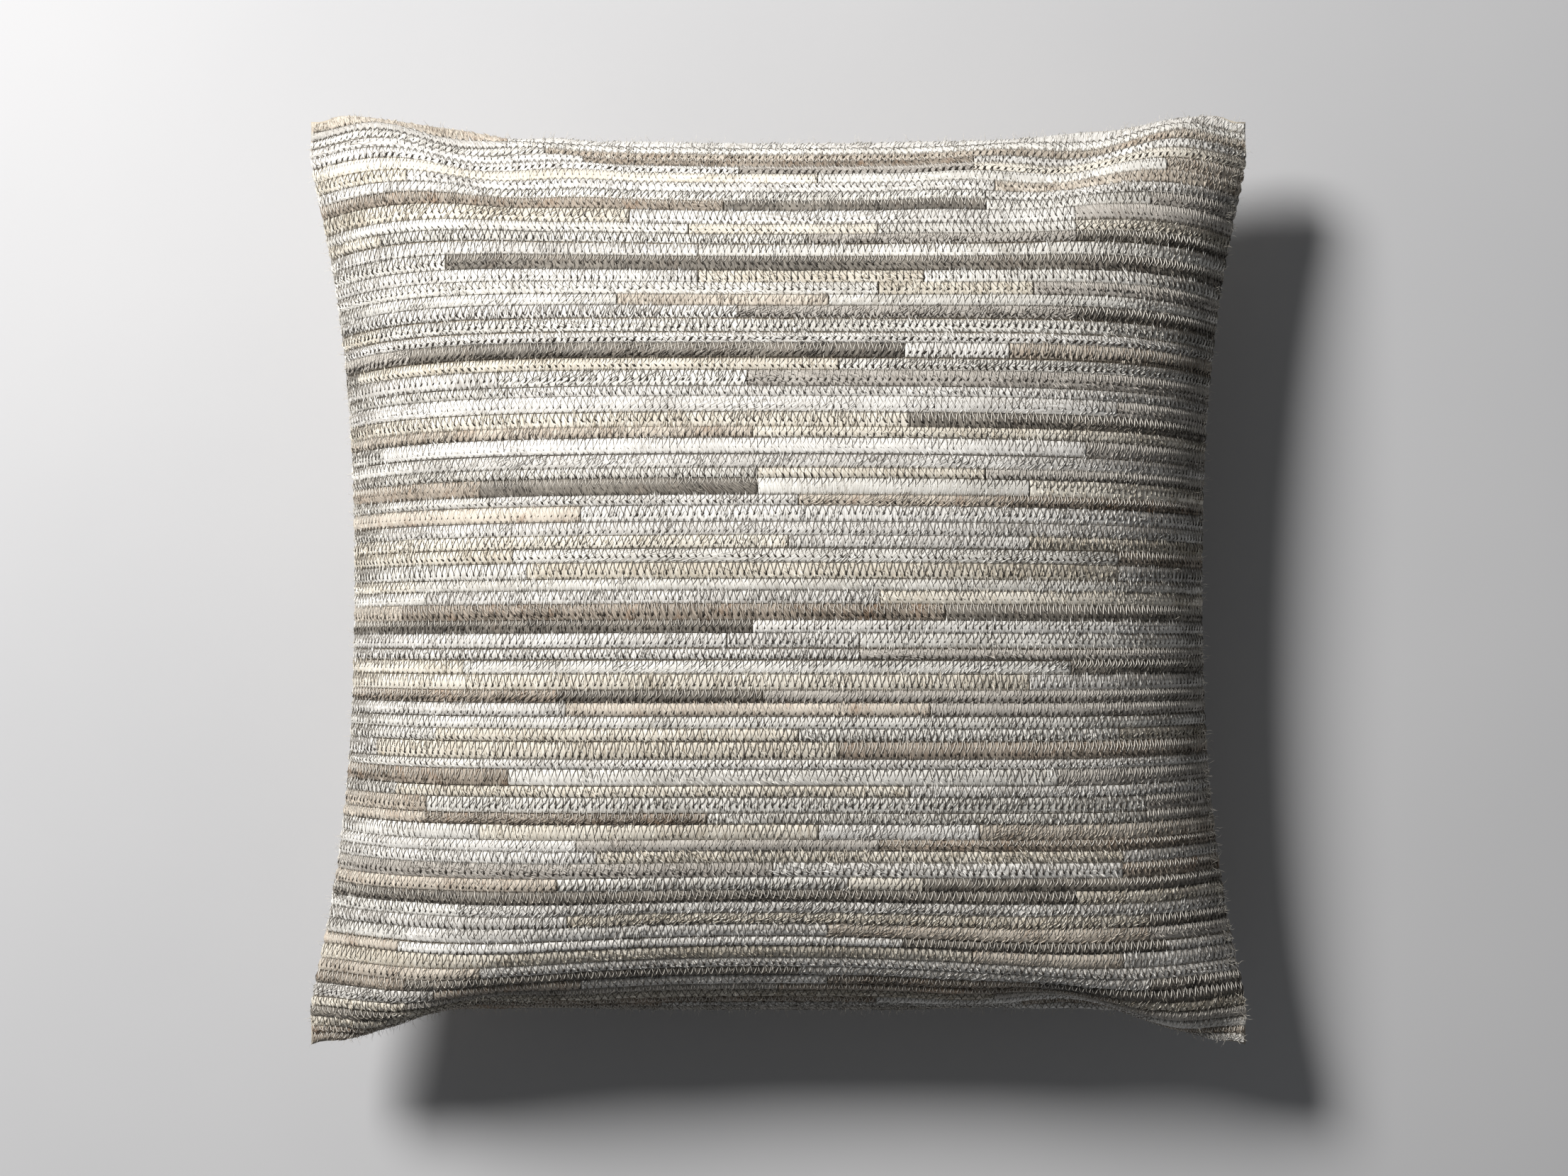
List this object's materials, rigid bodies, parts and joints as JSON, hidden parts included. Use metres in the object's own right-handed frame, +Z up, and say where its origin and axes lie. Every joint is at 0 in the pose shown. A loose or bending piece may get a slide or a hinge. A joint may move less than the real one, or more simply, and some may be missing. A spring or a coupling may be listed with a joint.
{
  "type": "throw pillow",
  "caption": "Square throw pillow with a pieced hair-on-hide front, plain woven back, hidden zip in the bottom seam and separate feather insert.",
  "frame": {"origin": "floor level under the middle of the pillow, which lies on its back", "axes": "+Z up out of the hide face, X along the hide strips, +Y towards the top edge, opposite the zip"},
  "size_m": [0.5, 0.4938, 0.166],
  "materials": {
    "hide_white": "hair-on cowhide, white hair, sewn with zig-zag thread",
    "hide_ivory": "hair-on cowhide, ivory hair, sewn with zig-zag thread",
    "hide_silver": "hair-on cowhide, silver hair, sewn with zig-zag thread",
    "hide_sand": "hair-on cowhide, sand hair, sewn with zig-zag thread",
    "hide_grey": "hair-on cowhide, grey hair, sewn with zig-zag thread",
    "hide_taupe": "hair-on cowhide, taupe hair, sewn with zig-zag thread",
    "hide_charcoal": "hair-on cowhide, charcoal hair, sewn with zig-zag thread",
    "backing_cloth": "plain woven cotton backing",
    "back_cloth": "plain woven linen-cotton, natural",
    "zip_tape": "woven polyester tape, beige",
    "zip_teeth": "moulded acetal, beige",
    "zip_metal": "die-cast zinc, nickel plated, satin",
    "label": "woven satin, blank",
    "ticking": "tightly woven white cotton ticking",
    "filling": "feather and down"
  },
  "bodies": {
    "pillow": {"hide_strips_white": "hide_white", "hide_strips_ivory": "hide_ivory", "hide_strips_silver": "hide_silver", "hide_strips_sand": "hide_sand", "hide_strips_grey": "hide_grey", "hide_strips_taupe": "hide_taupe", "hide_strips_charcoal": "hide_charcoal", "front_backing_cloth": "backing_cloth", "back_panel": "back_cloth", "edge_seam_allowance": "back_cloth", "zip_lip_front": "back_cloth", "zip_lip_back": "back_cloth", "zip_tape_front": "zip_tape", "zip_tape_back": "zip_tape", "zip_teeth_front": "zip_teeth", "zip_teeth_back": "zip_teeth", "zip_top_stops": "zip_metal", "zip_bottom_stop": "zip_metal", "care_label": "label", "insert_ticking_front": "ticking", "insert_ticking_back": "ticking", "insert_seam": "ticking", "insert_filling": "filling", "insert_label": "label"},
    "zip_slider": {"zip_slider_outer_plate": "zip_metal", "zip_slider_inner_plate": "zip_metal"},
    "zip_pull_tab": {"zip_pull_tab": "zip_metal"}
  },
  "joints": [
    {"name": "zip_slide", "type": "slide", "parent": "pillow", "child": "zip_slider", "axis": [-1, 0, 0], "range_m": [0, 0.286]},
    {"name": "pull_tab_hinge", "type": "hinge", "parent": "zip_slider", "child": "zip_pull_tab", "pos_m": [0.14325, -0.2214, 0.07], "axis": [0, 0, 1], "range_deg": [0, 170]}
  ]
}
